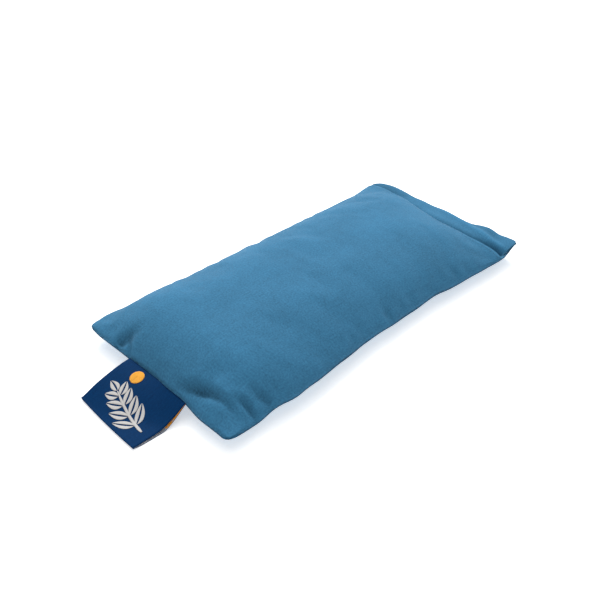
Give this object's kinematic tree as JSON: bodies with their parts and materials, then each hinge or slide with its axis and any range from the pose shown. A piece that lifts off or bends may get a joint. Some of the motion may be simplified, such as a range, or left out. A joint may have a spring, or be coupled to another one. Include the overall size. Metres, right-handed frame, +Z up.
{
  "type": "eye pillow",
  "caption": "Seed-filled eye pillow: flat rectangular cotton bag with a removable inner pouch, an envelope flap at one end and a folded loop label at the other.",
  "frame": {"origin": "centre of the flat rest area on the cover's underside, without the label", "axes": "+X along the pillow from the label end to the end that opens, +Y across it to the left side seen from the label, +Z up"},
  "size_m": [0.2452, 0.1056, 0.0253],
  "materials": {
    "cover_cotton": "matte",
    "cover_thread": "matte",
    "pouch_cotton": "matte",
    "pouch_thread": "matte",
    "linseed": "satin",
    "label_weave": "satin"
  },
  "bodies": {
    "cover": {"cover_top_panel": "cover_cotton", "cover_bottom_panel": "cover_cotton", "side_seam_thread_left": "cover_thread", "side_seam_thread_right": "cover_thread", "end_seam_thread": "cover_thread", "top_hem_thread": "cover_thread"},
    "flap": {"closure_flap": "cover_cotton", "flap_hem_thread": "cover_thread"},
    "inner_pillow": {"inner_pouch_top": "pouch_cotton", "inner_pouch_bottom": "pouch_cotton", "inner_pouch_seam_thread": "pouch_thread", "inner_pouch_closing_thread": "pouch_thread", "linseed_filling": "linseed"},
    "label": {"loop_label": "label_weave"}
  },
  "joints": [
    {"name": "inner_slide", "type": "slide", "parent": "cover", "child": "inner_pillow", "axis": [1, 0, 0], "range_m": [0, 0.225]},
    {"name": "closure_flap_hinge", "type": "hinge", "parent": "cover", "child": "flap", "pos_m": [0.1083, 0, 0.0003], "axis": [0, 1, 0], "range_deg": [0, 146], "deforming": ["closure_flap", "flap_hem_thread"]},
    {"name": "label_hinge", "type": "hinge", "parent": "cover", "child": "label", "pos_m": [-0.1106, -0.0022, 0.008], "axis": [0, 1, 0], "range_deg": [0, 105]}
  ],
  "couplings": [
    {"joint": "closure_flap_hinge", "follows": "inner_slide", "rad_per_m": 11.3}
  ]
}
